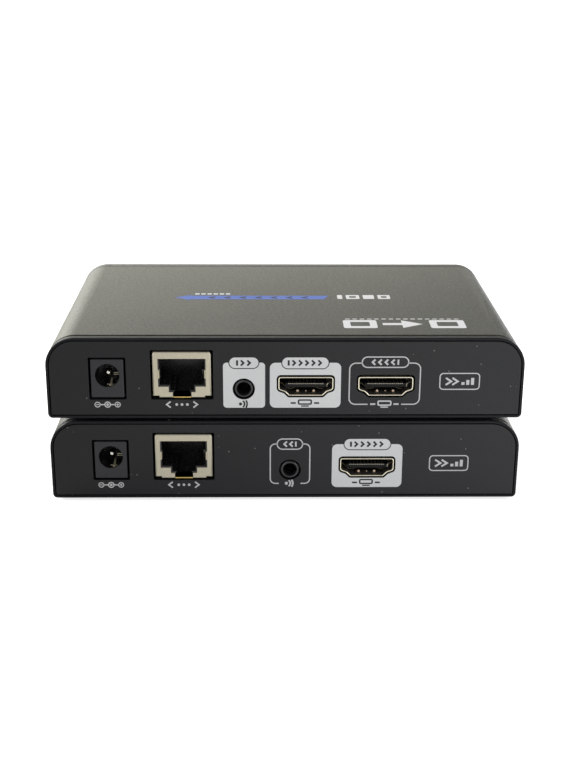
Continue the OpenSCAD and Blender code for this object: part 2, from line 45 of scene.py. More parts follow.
FRONT, REAR = -D / 2, D / 2
BAND, SLEEVE, SEAM = 3.0, 6.0, 0.15
RIM, GROOVE, PLATE_T = 0.7, 0.25, 1.5
OPENING, HOLLOW, SLEEVE_IN = 2.5, 2.6, 1.1
SKIN = 0.03
END = REAR - BAND - SEAM
FACE = FRONT + 0.05
PORT = FRONT + 0.1
# Top of the board, and the places and sizes of the sockets on it
TOP = 5.95
POWER_X, POWER_W, POWER_H = -48.4, 9.0, 11.0
POWER_Z, POWER_R = TOP + 6.35, 3.3
LAN_X, LAN_W, LAN_H = -28.2, 15.9, 13.1
EYE_Z, EYE_HOLE = TOP + 2.5, 3.05
VIDEO_Z = TOP + 0.5
TONGUE_Z, TONGUE_T = VIDEO_Z + 1.9, 1.2
# Gaps in the plate beside and above the sockets
PORT_GAP, PORT_ABOVE = 0.55, 0.5
VIDEO_GAP, VIDEO_ABOVE = 0.45, 0.2
# Lights and button at the far end
LIGHT_XS, LIGHT_R = (39.0, 28.6), 1.5
BUTTON_X, BUTTON_R = -39.0, 2.0
CONTROL_Z = 11.5
# Screws in the sides of the cover, and feet
SCREW_Y, SCREW_Z = 20, 11
FOOT_X, FOOT_Y = 49, 26
# Height of the ink of the signs
INK = 0.02
# Lift of each box, and the places of its infrared and video sockets across it
UNITS = {
    "receiver": {"z": 1.0, "eye": 1.3, "videos": [22.8]},
    "sender": {"z": 25.0, "eye": -11.4, "videos": [5.5, 27.3]},
}


# Flat loops, counter-clockwise, in millimetres
def fillet(corners, n):
    """A closed loop with an arc of n steps at each corner (u, v, radius)."""
    out = []
    for i, (u, v, r) in enumerate(corners):
        p = Vector((u, v))
        a = Vector(corners[i - 1][:2]) - p
        b = Vector(corners[(i + 1) % len(corners)][:2]) - p
        if r < 1e-6:
            out.append(p)
            continue
        a.normalize()
        b.normalize()
        half = a.angle(b) / 2
        c = p + (a + b).normalized() * (r / math.sin(half))
        s = p + a * (r / math.tan(half)) - c
        e = p + b * (r / math.tan(half)) - c
        turn = math.atan2(s.x * e.y - s.y * e.x, s.dot(e))
        start = math.atan2(s.y, s.x)
        for k in range(n + 1):
            t = start + turn * k / n
            out.append(c + Vector((math.cos(t), math.sin(t))) * r)
    return out


def offset(loop, d):
    """The loop moved outward by d, or inward where d is negative."""
    out = []
    for i, p in enumerate(loop):
        a = (p - loop[i - 1]).normalized()
        b = (loop[(i + 1) % len(loop)] - p).normalized()
        na, nb = Vector((a.y, -a.x)), Vector((b.y, -b.x))
        out.append(p + (na + nb) * (d / max(0.25, 1 + na.dot(nb))))
    return out


def rect(u0, v0, u1, v1, r=0.0, n=5):
    return fillet([(u0, v0, r), (u1, v0, r), (u1, v1, r), (u0, v1, r)], n)


def disc(u, v, r, n=48):
    turns = [2 * math.pi * i / n for i in range(n)]
    return [Vector((u + r * math.cos(t), v + r * math.sin(t))) for t in turns]


def moved(loop, du, dv):
    return [p + Vector((du, dv)) for p in loop]


def case_loop(inset, low=None):
    """The outline of a box moved inward by inset, with its lower corners rounded by low."""
    w, r = W / 2 - inset, SHOULDER - inset
    low = max(BASE - inset, 0.04) if low is None else low
    return fillet([(w, inset, low), (w, H - inset, r), (-w, H - inset, r), (-w, inset, low)], 14)


def mirrored(half, n):
    """A rounded loop from the corners (u, v, radius) of its right half, which run upward."""
    corners = half + [(-u, v, r) for u, v, r in half[::-1]]
    return fillet(corners[-1:] + corners[:-1], n)


def video_loop(grow=0.0):
    """The outline of a video shell, moved outward by grow."""
    return offset(mirrored([(4.6, 0, 0.5), (5.75, 1.15, 1.3), (7.5, 1.75, 0.8), (7.5, 5.4, 0.75)], 5), grow)


def video_hole(x):
    """The cut-out round a video shell, with more room above it than beside it."""
    middle = 3
    return [p + Vector((x, VIDEO_Z + (VIDEO_ABOVE if p.y > middle else 0))) for p in video_loop(VIDEO_GAP)]


def stroke(points, w):
    """An open line drawn with a pen of width w."""
    left, right = [], []
    for i, p in enumerate(points):
        a = (p - points[i - 1]).normalized() if i else None
        b = (points[i + 1] - p).normalized() if i + 1 < len(points) else None
        a, b = a or b, b or a
        na, nb = Vector((-a.y, a.x)), Vector((-b.y, b.x))
        m = (na + nb) / max(0.3, 1 + na.dot(nb)) * (w / 2)
        left.append(p + m)
        right.append(p - m)
    return right + left[::-1]


def pen(points, w):
    """The same line from plain points, turned counter-clockwise."""
    loop = stroke([Vector(p) for p in points], w)
    area = sum(a.x * b.y - b.x * a.y for a, b in zip(loop, loop[1:] + loop[:1]))
    return loop if area > 0 else loop[::-1]


def arc(u, v, r, t0, t1, n=10):
    turns = [t0 + (t1 - t0) * i / n for i in range(n + 1)]
    return [Vector((u + r * math.cos(t), v + r * math.sin(t))) for t in turns]


def outline(*points):
    return [Vector(p) for p in points]


# A mesh under construction; flat loops stand across Y unless another way is named
PLACE = {
    "y": lambda u, v, w: Vector((u, w, v)),
    "z": lambda u, v, w: Vector((u, v, w)),
    "x": lambda u, v, w: Vector((w, u, v)),
}


class Mesh:
    def __init__(self):
        self.verts, self.faces, self.inks, self.ink = [], [], [], 0

    def ring(self, loop, w, way="y"):
        at = len(self.verts)
        self.verts += [PLACE[way](p[0], p[1], w) for p in loop]
        return list(range(at, len(self.verts)))

    def add(self, face):
        self.faces.append(face)
        self.inks.append(self.ink)

    def band(self, a, b):
        for i in range(len(a)):
            j = (i + 1) % len(a)
            self.add((a[i], a[j], b[j], b[i]))

    def bands(self, rings):
        for a, b in zip(rings, rings[1:]):
            self.band(a, b)

    def cap(self, *rings):
        flat = [i for r in rings for i in r]
        for t in tessellate_polygon([[self.verts[i] for i in r] for r in rings]):
            self.add(tuple(flat[k] for k in t))

    def prism(self, outer, w0, w1, holes=(), pockets=(), edge=0.0, rim=None, back_edge=0.0, steps=3, way="y"):
        """Outer extruded from w0 to w1, with through holes and pockets (loop, floor).

        Its edge at w0 is rounded by edge, the rims of its holes by rim, and its edges at w1 by back_edge.
        """
        rim = edge if rim is None else rim
        s = 1 if w1 > w0 else -1
        fronts, backs = [], []

        def wall(loop, end, r, sign, r_back):
            turns = [k / steps * math.pi / 2 for k in range(steps + 1)]
            rows = [(0, w0)]
            if r:
                rows = [(-sign * r * (1 - math.sin(t)), w0 + s * r * (1 - math.cos(t))) for t in turns]
            if r_back:
                rows += [(-sign * r_back * (1 - math.cos(t)), end - s * r_back * (1 - math.sin(t)))
                         for t in turns]
            else:
                rows.append((0, end))
            rings = [self.ring(offset(loop, o), w, way) for o, w in rows]
            self.bands(rings)
            return rings[0], rings[-1]

        f, b = wall(outer, w1, edge, 1, back_edge)
        fronts.append(f)
        backs.append(b)
        for loop in holes:
            f, b = wall(loop, w1, rim, -1, back_edge)
            fronts.append(f)
            backs.append(b)
        for loop, floor in pockets:
            f, b = wall(loop, floor, rim, -1, 0)
            fronts.append(f)
            self.cap(b)
        self.cap(*fronts)
        self.cap(*backs)

    def box(self, x0, y0, z0, x1, y1, z1, edge=0.0):
        self.prism(rect(x0, z0, x1, z1), y0, y1, edge=edge, back_edge=edge, steps=2)

    def lathe(self, profile, u, v, n=48, way="y"):
        """Profile of (radius, place along the way) turned about (u, v)."""
        rings = []
        for r, w in profile:
            if r < 1e-6:
                self.verts.append(PLACE[way](u, v, w))
                rings.append(len(self.verts) - 1)
            else:
                rings.append(self.ring(disc(u, v, r, n), w, way))
        for a, b in zip(rings, rings[1:]):
            if isinstance(a, int) or isinstance(b, int):
                tip, r = (a, b) if isinstance(a, int) else (b, a)
                for i in range(n):
                    self.add((tip, r[i], r[(i + 1) % n]))
            else:
                self.band(a, b)

    def data(self, name, lift):
        """The mesh in metres, raised by lift millimetres, with its faces turned outward."""
        mesh = bpy.data.meshes.new(name)
        mesh.from_pydata([(v.x * MM, v.y * MM, (v.z + lift) * MM) for v in self.verts], [], self.faces)
        for f, ink in zip(mesh.polygons, self.inks):
            f.material_index = ink
        bm = bmesh.new()
        bm.from_mesh(mesh)
        bmesh.ops.remove_doubles(bm, verts=bm.verts, dist=1e-7)
        bmesh.ops.recalc_face_normals(bm, faces=bm.faces)
        bm.to_mesh(mesh)
        bm.free()
        return mesh

    def piece(self, name, paints, body, replaces=(), lift=0.0, weighted=True, cut=None):
        """A piece that rides on body, painted with the named paints in the order of their inks."""
        o = bpy.data.objects.new(name, self.data(name, lift))
        bpy.context.scene.collection.objects.link(o)
        for paint in paints:
            o.data.materials.append(PAINTS[paint])
        if cut:
            carve(o, cut.data("cutter", lift))
        o.data.polygons.foreach_set("use_smooth", [True] * len(o.data.polygons))
        o.data.set_sharp_from_angle(angle=math.radians(35))
        if weighted:
            m = o.modifiers.new("even_shading", "WEIGHTED_NORMAL")
            m.keep_sharp = True
        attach(o, body)
        if replaces:
            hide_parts(*replaces)


def carve(o, blade):
    """Takes the mesh blade out of o for good."""
    cutter = bpy.data.objects.new("cutter", blade)
    bpy.context.scene.collection.objects.link(cutter)
    m = o.modifiers.new("holes", "BOOLEAN")
    m.object, m.operation, m.solver = cutter, "DIFFERENCE", "EXACT"
    bpy.context.view_layer.update()
    carved = bpy.data.meshes.new_from_object(o.evaluated_get(bpy.context.evaluated_depsgraph_get()))
    o.modifiers.remove(m)
    o.data = carved
    bpy.data.objects.remove(cutter)


class Nodes:
    """A node tree under construction: a value is set on its input, and a socket is linked to it."""

    def __init__(self, owner):
        owner.use_nodes = True
        self.tree = owner.node_tree
        self.tree.nodes.clear()

    def put(self, kind, values, **settings):
        """A new node with values {input: value}; the answer is its outputs."""
        n = self.tree.nodes.new("ShaderNode" + kind)
        for k, v in settings.items():
            setattr(n, k, v)
        for k, v in values.items():
            if isinstance(v, bpy.types.NodeSocket):
                self.tree.links.new(v, n.inputs[k])
            else:
                n.inputs[k].default_value = v
        return n.outputs

    def calc(self, operation, a, b):
        return self.put("Math", {0: a, 1: b}, operation=operation)[0]

    def spread(self, value, a, b, lo, hi):
        """Value from a to b mapped to lo to hi."""
        return self.put("MapRange", {0: value, 1: a, 2: b, 3: lo, 4: hi})[0]


# Procedural materials
def rgb(*c):
    """A colour written as 0 to 255, made linear."""
    shares = [x / 255 for x in c]
    return tuple(x / 12.92 if x <= 0.04045 else ((x + 0.055) / 1.055) ** 2.4 for x in shares) + (1.0,)


def surface(name, low, high, grain, clouds, rough, rough_scale, bump, bump_scale, detail=3, metallic=0.0,
            spec=0.5, tint=(255, 255, 255), stretch=(1, 1, 1), specks=None, transmission=0.0):
    """A shader whose colour wanders from low to high.

    Scales are per metre, and bump is a height in millimetres. The specks are (scale, size, share, colour)
    of fine dust, and stretch draws the grain out along an axis.
    """
    m = bpy.data.materials.new(name)
    t = Nodes(m)
    place = t.put("TexCoord", {})["Object"]
    stretched = t.put("Mapping", {0: place, "Scale": stretch})[0]

    def noise(scale, depth=detail):
        return t.put("TexNoise", {"Vector": stretched, "Scale": scale, "Detail": depth})["Fac"]

    def mix(share, a, b):
        return t.put("Mix", {0: share, 6: a, 7: b}, data_type="RGBA")[2]

    fine = t.spread(noise(grain), 0.3, 0.7, 0, 1)
    broad = t.spread(noise(clouds, 2), 0.3, 0.7, 0, 1)
    shade = t.calc("ADD", t.calc("MULTIPLY", fine, 0.6), t.calc("MULTIPLY", broad, 0.4))
    colour = mix(shade, rgb(*low), rgb(*high))
    if specks:
        scale, size, share, dust = specks
        cells = t.put("TexVoronoi", {"Vector": place, "Scale": scale})
        chance = t.put("SeparateColor", {0: cells["Color"]})
        near = t.calc("LESS_THAN", cells["Distance"], t.calc("MULTIPLY", chance[1], size))
        some = t.calc("LESS_THAN", chance[0], share)
        colour = mix(t.calc("MULTIPLY", t.calc("MULTIPLY", near, some), 0.75), colour, rgb(*dust))
    relief = t.put("Bump", {"Strength": 1.0, "Distance": bump * MM, "Height": noise(bump_scale)})[0]
    shader = t.put("BsdfPrincipled", {
        "Base Color": colour, "Roughness": t.spread(noise(rough_scale), 0.3, 0.7, *rough), "Normal": relief,
        "Metallic": metallic, "Specular IOR Level": spec, "Specular Tint": rgb(*tint),
        "Transmission Weight": transmission})
    t.put("OutputMaterial", {0: shader[0]})
    return m


DUST = (176, 166, 140)
# Each row: name, darker and lighter colour, scales of grain and clouds, range and scale of the roughness,
# height and scale of the bumps, and the rest
PAINTS = {name: surface(name, *values, **rest) for name, *values, rest in (
    ("cover_paint", (34, 34, 31), (52, 52, 47), 1500, 30, (0.33, 0.45), 1400, 0.05, 1500,
     dict(detail=2, tint=(255, 255, 236), specks=(400, 0.14, 0.02, (30, 28, 24)))),
    ("tray_metal", (58, 58, 56), (72, 72, 69), 2200, 30, (0.42, 0.55), 1200, 0.01, 2400, {}),
    ("bezel_plastic", (22, 23, 26), (29, 30, 33), 1800, 40, (0.3, 0.4), 900, 0.006, 2600,
     dict(spec=0.1, specks=(620, 0.2, 0.1, DUST))),
    ("rear_plastic", (32, 32, 33), (40, 40, 41), 1800, 40, (0.34, 0.44), 900, 0.006, 2600,
     dict(specks=(620, 0.2, 0.1, DUST))),
    ("plate_plastic", (17, 18, 20), (24, 25, 28), 2400, 18, (0.34, 0.46), 1500, 0.006, 3000,
     dict(spec=0.26, specks=(700, 0.14, 0.16, (120, 120, 118)))),
    ("print_silver", (205, 207, 209), (214, 216, 217), 3200, 60, (0.38, 0.5), 2000, 0.003, 4000,
     dict(spec=0.3)),
    ("print_white", (184, 185, 187), (200, 201, 203), 3200, 60, (0.45, 0.6), 2000, 0.003, 4000,
     dict(spec=0.3)),
    ("print_cover", (208, 208, 212), (224, 224, 228), 3200, 60, (0.5, 0.62), 2000, 0.003, 4000,
     dict(spec=0.2)),
    ("print_blue", (84, 106, 182), (102, 124, 198), 3200, 60, (0.5, 0.62), 2000, 0.003, 4000,
     dict(spec=0.2)),
    ("print_dark", (26, 27, 29), (36, 37, 39), 3200, 60, (0.45, 0.6), 2000, 0.003, 4000,
     dict(spec=0.3)),
    ("screw_steel", (60, 60, 62), (84, 84, 86), 2000, 200, (0.28, 0.42), 1500, 0.01, 2200,
     dict(metallic=0.9)),
    ("bright_steel", (176, 177, 180), (204, 204, 206), 1500, 200, (0.2, 0.34), 1200, 0.006, 2200,
     dict(metallic=1.0)),
    ("foot_rubber", (20, 20, 21), (30, 30, 31), 1600, 120, (0.7, 0.85), 900, 0.02, 1800, dict(spec=0.3)),
    ("board_laminate", (9, 32, 21), (14, 44, 28), 700, 60, (0.3, 0.45), 500, 0.01, 900, {}),
    ("power_plastic", (24, 25, 30), (32, 33, 38), 2600, 90, (0.34, 0.5), 2000, 0.012, 2400,
     dict(spec=0.4)),
    ("barrel_plastic", (14, 14, 15), (20, 20, 21), 1500, 90, (0.16, 0.26), 900, 0.004, 2400, {}),
    ("eye_plastic", (22, 22, 24), (29, 29, 31), 1500, 90, (0.26, 0.38), 900, 0.004, 2400, {}),
    # Grey of the lining, also used for a painted reflection in the video sockets
    ("liner_and_reflection_grey", (40, 40, 43), (50, 50, 53), 1500, 90, (0.4, 0.5), 900, 0.004, 2400,
     dict(spec=0.3)),
    ("edge_grey", (76, 80, 92), (90, 94, 107), 1500, 300, (0.4, 0.5), 1200, 0.003, 2600, {}),
    # Pale contact colour, also used for painted highlights in the sockets
    ("cream_contact_and_highlight", (176, 168, 144), (196, 188, 164), 1500, 300, (0.3, 0.42), 1200, 0.003, 2600,
     dict(metallic=0.3)),
    # A dark copy of the contact colour, as painted shade
    ("contact_painted_shade", (66, 58, 42), (84, 74, 56), 1500, 300, (0.35, 0.5), 1200, 0.003, 2600,
     dict(metallic=0.5)),
    ("dot_tan", (206, 178, 156), (224, 198, 176), 1500, 300, (0.35, 0.5), 1200, 0.003, 2600, {}),
    ("slot_gold", (190, 160, 84), (206, 178, 104), 1500, 300, (0.35, 0.5), 1200, 0.003, 2600,
     dict(metallic=0.35)),
    # Painted shade inside the sockets
    ("inside_painted_shade", (46, 44, 41), (56, 54, 50), 1500, 300, (0.4, 0.5), 1200, 0.003, 2600,
     dict(spec=0.3)),
    ("socket_plastic", (12, 12, 13), (19, 19, 20), 1500, 90, (0.22, 0.34), 900, 0.004, 2400, {}),
    ("tongue_plastic", (25, 25, 26), (32, 32, 33), 1500, 90, (0.45, 0.6), 900, 0.004, 2400,
     dict(spec=0.1)),
    ("contact_nickel", (206, 204, 196), (226, 224, 216), 1500, 300, (0.12, 0.24), 1200, 0.003, 2600,
     dict(metallic=1.0)),
    ("contact_gold", (196, 166, 92), (216, 186, 112), 1500, 300, (0.2, 0.32), 1200, 0.003, 2600,
     dict(metallic=1.0)),
    ("shield_nickel", (171, 165, 147), (183, 177, 160), 1800, 70, (0.34, 0.48), 1400, 0.006, 2200,
     dict(metallic=0.85)),
    ("shell_nickel", (206, 199, 178), (224, 217, 196), 2200, 200, (0.26, 0.38), 1600, 0.004, 2600,
     dict(metallic=0.9)),
    ("chip_resin", (26, 26, 27), (36, 36, 37), 2200, 120, (0.5, 0.62), 1500, 0.01, 2600, {}),
    ("sink_aluminium", (150, 152, 155), (176, 178, 181), 900, 60, (0.3, 0.42), 700, 0.01, 1400,
     dict(metallic=1.0, stretch=(1, 0.1, 1))),
    ("can_aluminium", (168, 170, 174), (192, 194, 198), 900, 90, (0.22, 0.34), 900, 0.004, 2000,
     dict(metallic=1.0)),
    ("coil_ferrite", (52, 51, 50), (68, 66, 64), 1800, 150, (0.6, 0.75), 1200, 0.02, 1800, {}),
    ("led_resin", (214, 216, 206), (232, 234, 226), 1200, 150, (0.2, 0.3), 900, 0.003, 2000, {}),
    ("pipe_plastic", (206, 212, 210), (224, 229, 227), 1400, 200, (0.14, 0.24), 900, 0.003, 2000,
     dict(transmission=0.35)),
    ("switch_metal", (158, 158, 156), (184, 184, 182), 1200, 150, (0.3, 0.4), 900, 0.006, 2000,
     dict(metallic=0.9)),
    ("button_plastic", (40, 41, 43), (52, 53, 55), 1800, 120, (0.4, 0.52), 1200, 0.01, 2400, {}),
)}

# Paints of the parts that stay as they are in the frame, by the name without its box
CARRIED = {
    "bottom_cover": "tray_metal",
    "case_screws": "screw_steel",
    "circuit_board": "board_laminate",
    "board_screws": "bright_steel",
    "lan_jack_contacts": "contact_gold",
    "video_jack_contacts": "contact_gold",
    "eye_jack_contacts": "contact_nickel",
    "video_processor": "chip_resin",
    "heat_sink": "sink_aluminium",
    "interface_chips": "chip_resin",
    "lan_transformer": "chip_resin",
    "filter_capacitors": "can_aluminium",
    "power_coils": "coil_ferrite",
    "status_leds": "led_resin",
    "light_pipes": "pipe_plastic",
    "reset_switch": "switch_metal",
}
for name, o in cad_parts.items():
    paint = CARRIED.get(name.split("_", 1)[1])
    if paint:
        o.data.materials.clear()
        o.data.materials.append(PAINTS[paint])


# Case
def cover(unit, z, body):
    """The folded skin with its two shoulders, and a recess for the head of each side screw."""
    m = Mesh()
    w, h, foot, wall, low = W / 2 - SKIN, H - SKIN, 0.02, 1, 0.94
    inner = SHOULDER - wall
    loop = fillet([
        (w, foot, low), (w, h, SHOULDER), (-w, h, SHOULDER), (-w, foot, low), (-w + wall, foot, 0),
        (-w + wall, h - wall, inner), (w - wall, h - wall, inner), (w - wall, foot, 0)], 16)
    rows = [(-END, -0.07), (-END + 0.02, -0.02), (-END + 0.07, 0)]
    rows += [(-y, o) for y, o in rows[::-1]]
    rings = [m.ring(offset(loop, o), y) for y, o in rows]
    m.bands(rings)
    m.cap(rings[0])
    m.cap(rings[-1])
    head, shank = 2.36, 1.32
    recess = [(0, 1), (head, 1), (head, 0), (shank, -1), (shank, -2), (0, -2)]
    cut = Mesh()
    for sx in (-1, 1):
        for sy in (-1, 1):
            cut.lathe([(r, sx * (W / 2 + x)) for r, x in recess], sy * SCREW_Y, SCREW_Z, 32, "x")
    m.piece(f"{unit}_cover_skin", ["cover_paint"], body, [f"{unit}_top_cover"], z, cut=cut)


def bezel(unit, z, body, s, name, node):
    """End cap at the sockets (s = 1) or at the far end (s = -1): rim, ledge for the plate, and sleeve."""
    m = Mesh()
    back, ledge = FRONT + BAND, FRONT + PLATE_T
    if s > 0:
        paint, inner = "bezel_plastic", 0.54
        groove = [(0.5, 0.02), (0.5, 0.84), (0.06, 0.88), (0.01, 0.94), (0, 1.05)]
    else:
        paint, inner = "rear_plastic", 0.06
        groove = [(0.02, 0.02), (0, 0.3)]
    rows = [(i, back - y) for i, y in groove] + [(0, FRONT + 1.0)]
    outer_r, inner_r = 0.2, 0.1
    for t in map(math.radians, range(0, 91, 18)):
        rows.append((outer_r * (1 - math.cos(t)), FRONT + outer_r * (1 - math.sin(t))))
    for t in map(math.radians, range(0, 91, 30)):
        rows.append((RIM - inner_r * (1 - math.sin(t)), FRONT + inner_r * (1 - math.cos(t))))
    rows += [(RIM, ledge), (OPENING, ledge), (OPENING, back), (HOLLOW, back + 0.1), (HOLLOW, back + SLEEVE),
             (SLEEVE_IN, back + SLEEVE), (SLEEVE_IN, back), (inner, back)]
    rings = [m.ring(case_loop(i), s * y) for i, y in rows]
    m.bands(rings + rings[:1])
    # Screw bosses in the lower corners of the sleeve
    boss_x, boss_top, screw_x, screw_y, screw_r, screw_end = (55.5, 62.9), 8.0, 58.5, -34.0, 1.3, 6.6
    v0, v1 = sorted((s * back, s * (back + SLEEVE)))
    for sx in (-1, 1):
        u0, u1 = sorted(sx * u for u in boss_x)
        bore = disc(sx * screw_x, s * screw_y, screw_r, 24)
        m.prism(rect(u0, v0, u1, v1), SLEEVE_IN, boss_top, pockets=[(bore, screw_end)], way="z")
    m.piece(f"{unit}_{name}", [paint], body, [f"{unit}_{node}"], z)


def port_loops(p):
    """The cut-outs of the plate at the sockets."""
    loops = []
    for x, w, h in ((POWER_X, POWER_W, POWER_H), (LAN_X, LAN_W, LAN_H)):
        side = w / 2 + PORT_GAP
        loops.append(rect(x - side, TOP - PORT_GAP, x + side, TOP + h + PORT_ABOVE, 0.3, 4))
    return loops + [disc(p["eye"], EYE_Z, EYE_HOLE)] + [video_hole(x) for x in p["videos"]]


def plates(unit, p, body):
    """The plates at the sockets and at the far end, each set in its end cap."""
    loop, back, edge, rim = case_loop(RIM + GROOVE, 0.2), FRONT + PLATE_T, 0.14, 0.1
    m = Mesh()
    m.prism(loop, FACE, back, port_loops(p), edge=edge, rim=rim)
    m.piece(f"{unit}_socket_plate", ["plate_plastic"], body,
            [f"{unit}_connector_plate"], p["z"])
    m = Mesh()
    holes = [disc(x, CONTROL_Z, LIGHT_R, 32) for x in LIGHT_XS] + [disc(BUTTON_X, CONTROL_Z, BUTTON_R, 32)]
    m.prism(loop, -FACE, -back, holes, edge=edge, rim=rim)
    m.piece(f"{unit}_rear_plate", ["plate_plastic"], body,
            [f"{unit}_indicator_plate"], p["z"])


def feet(unit, z, body):
    """Four round feet with a shallow hollow in each sole."""
    profile = [(0, -0.86), (2.9, -0.86), (3.3, -0.94), (3.75, -1.0), (4.0, -0.96), (4.14, -0.82),
               (4.3, -0.45), (4.42, -0.1), (4.5, 0), (0, 0)]
    m = Mesh()
    for sx in (-1, 1):
        for sy in (-1, 1):
            m.lathe(profile, sx * FOOT_X, sy * FOOT_Y, 48, "z")
    m.piece(f"{unit}_feet", ["foot_rubber"], body, [f"{unit}_rubber_feet"], z)


# Sockets
def power_socket(unit, z, body):
    """The block with its round mouth, then the pin, the contact bar at its right and the spring under it."""
    m = Mesh()
    floor, back, half = PORT + 9.5, PORT + 13.9, POWER_W / 2
    m.prism(rect(POWER_X - half, TOP, POWER_X + half, TOP + POWER_H, 0.35, 4), PORT, back,
            pockets=[(disc(POWER_X, POWER_Z, POWER_R, 64), floor)], edge=0.3, rim=0.14, steps=4)
    # The mouth is smoother than the face
    for i, f in enumerate(m.faces):
        middle = sum((m.verts[k] for k in f), Vector()) / len(f)
        if middle.y > PORT + 0.12 and math.hypot(middle.x - POWER_X, middle.z - POWER_Z) < POWER_R + 0.05:
            m.inks[i] = 1
    m.piece(f"{unit}_power_socket", ["power_plastic", "barrel_plastic"], body,
            [f"{unit}_power_jack_housing"], z)
    m = Mesh()
    tip, shank_end = PORT + 2.5, back + 0.2
    m.lathe([(0, tip), (0.36, tip + 0.02), (0.5, tip + 0.1), (0.62, tip + 0.3), (0.84, tip + 0.6),
             (0.96, tip + 0.95), (1.0, tip + 1.4), (1.0, floor), (0.7, floor), (0.7, shank_end),
             (0, shank_end)], POWER_X, POWER_Z, 40)
    m.box(POWER_X - 1.5, back + 0.1, TOP, POWER_X + 1.5, back + 0.5, POWER_Z + 1.4, 0.08)
    m.box(POWER_X + 2.8, PORT + 3.0, POWER_Z - 0.7, POWER_X + 3.1, floor, POWER_Z + 0.7, 0.06)
    # Painted shade: a dark plate behind the two pale strips
    m.ink = 2
    m.box(POWER_X + 1.5, PORT + 2.8, POWER_Z - 0.56, POWER_X + 3.0, PORT + 3.0, POWER_Z - 0.02, 0.04)
    # Painted highlights: two pale strips for the lit edges of the contact bar
    m.ink = 1
    for v in (-0.6, -0.06):
        m.box(POWER_X + 1.45, PORT + 2.66, POWER_Z + v, POWER_X + 2.95, PORT + 2.84, POWER_Z + v + 0.13, 0.03)
    low = POWER_Z - POWER_R
    # The spring under the pin is a real part; its pale paint is a painted highlight
    spring = [(0.55, 0.26), (0.75, 0.4), (1.15, 0.4), (1.6, 0.2), (2.8, 0.2), (3.6, 0.62), (4.8, 0.86),
              (6.4, 0.66), (7.4, 0.2)]
    m.prism(pen([(PORT + y, low + v) for y, v in spring], 0.12), POWER_X + 0.42, POWER_X + 0.95, way="x")
    # Painted highlight: a pale bar low in the mouth
    m.box(POWER_X - 0.35, PORT + 1.2, low + 0.34, POWER_X + 1.6, PORT + 1.5, low + 0.46, 0.04)
    m.piece(f"{unit}_power_contacts", ["contact_nickel", "cream_contact_and_highlight", "inside_painted_shade"], body,
            [f"{unit}_power_jack_contacts"], z)


def network_loops():
    """The outlines of the shield's face, of its stepped mouth and of the lining inside."""
    w, top = LAN_W / 2, LAN_H
    face = mirrored([(w - 1.7, 0, 0.1), (w - 1.7, 0.45, 0.08), (w, 0.45, 0.15), (w, top - 0.65, 0.2),
                     (w - 0.38, top, 0.2)], 3)

    def mouth(inset, roof):
        a, b, c = (half - inset for half in (6.475, 3.65, 2.475))
        lower, upper = 1.55 + inset, 3.15 + inset
        return mirrored([(c, 0.25, 0.06), (c, lower, 0.12), (b, lower, 0.06), (b, upper, 0.12),
                         (a, upper, 0.06), (a, roof, 0.06)], 2)

    return [moved(loop, LAN_X, TOP) for loop in (face, mouth(0, 11.1), mouth(0.38, 11.0))]


def network_socket(unit, z, body):
    """The metal shield, the plastic insert with the lining of its mouth, and the springs."""
    face, mouth, liner = network_loops()
    wall, back = 0.4, PORT + 20.8
    m = Mesh()
    outer = [m.ring(offset(face, o), y) for o, y in
             [(-0.3, PORT), (-0.15, PORT + 0.04), (-0.05, PORT + 0.13), (0, PORT + 0.3), (0, back)]]
    lips = [m.ring(offset(mouth, o), y) for o, y in [(0.06, PORT), (0, PORT + 0.06), (0, PORT + wall)]]
    inner = [m.ring(offset(face, -wall), y) for y in (PORT + wall, back - wall)]
    for rings in (outer, lips, inner):
        m.bands(rings)
    m.cap(outer[0], lips[0])
    m.cap(outer[-1])
    m.cap(inner[0], lips[-1])
    m.cap(inner[1])
    m.piece(f"{unit}_network_shield", ["shield_nickel"], body,
            [f"{unit}_lan_jack_shield"], z)
    m = Mesh()
    fit = 0.45
    m.prism(offset(face, -fit), PORT + fit, back - fit, pockets=[(liner, PORT + 13)], rim=0.05, steps=2)
    m.box(LAN_X + 5.2, PORT + 5.5, TOP + 3.6, LAN_X + 6.2, PORT + 12.9, TOP + 6.3, 0.08)
    for i, f in enumerate(m.faces):
        if all(m.verts[k].y < PORT + fit + 0.02 for k in f):
            m.inks[i] = 1
    m.ink = 1
    m.box(LAN_X + 4.2, PORT + 9.0, TOP + 7.3, LAN_X + 5.8, PORT + 9.3, TOP + 7.75)
    m.piece(f"{unit}_network_insert", ["socket_plastic", "liner_and_reflection_grey"], body,
            [f"{unit}_lan_jack_housing"], z)
    # Springs at both sides of the mouth, and the bright slot under it
    spring = [(0, 0.02), (0.3, 0.02), (0.36, 0.4), (0.42, 1.4), (0.3, 2.6), (0.05, 3.4), (-0.02, 3.4),
              (0, 1.2)]
    m = Mesh()
    for sx in (-1, 1):
        loop = outline(*[(LAN_X + sx * (6.46 - u), PORT + v) for u, v in spring])
        m.prism(loop if sx < 0 else loop[::-1], TOP + 5.5, TOP + 7.9, way="z")
    m.ink = 1
    m.box(LAN_X - 2.42, PORT - 0.02, TOP - 0.02, LAN_X + 2.42, PORT + 2.2, TOP + 0.3, 0.04)
    m.piece(f"{unit}_network_springs", ["cream_contact_and_highlight", "slot_gold"], body, [], z)


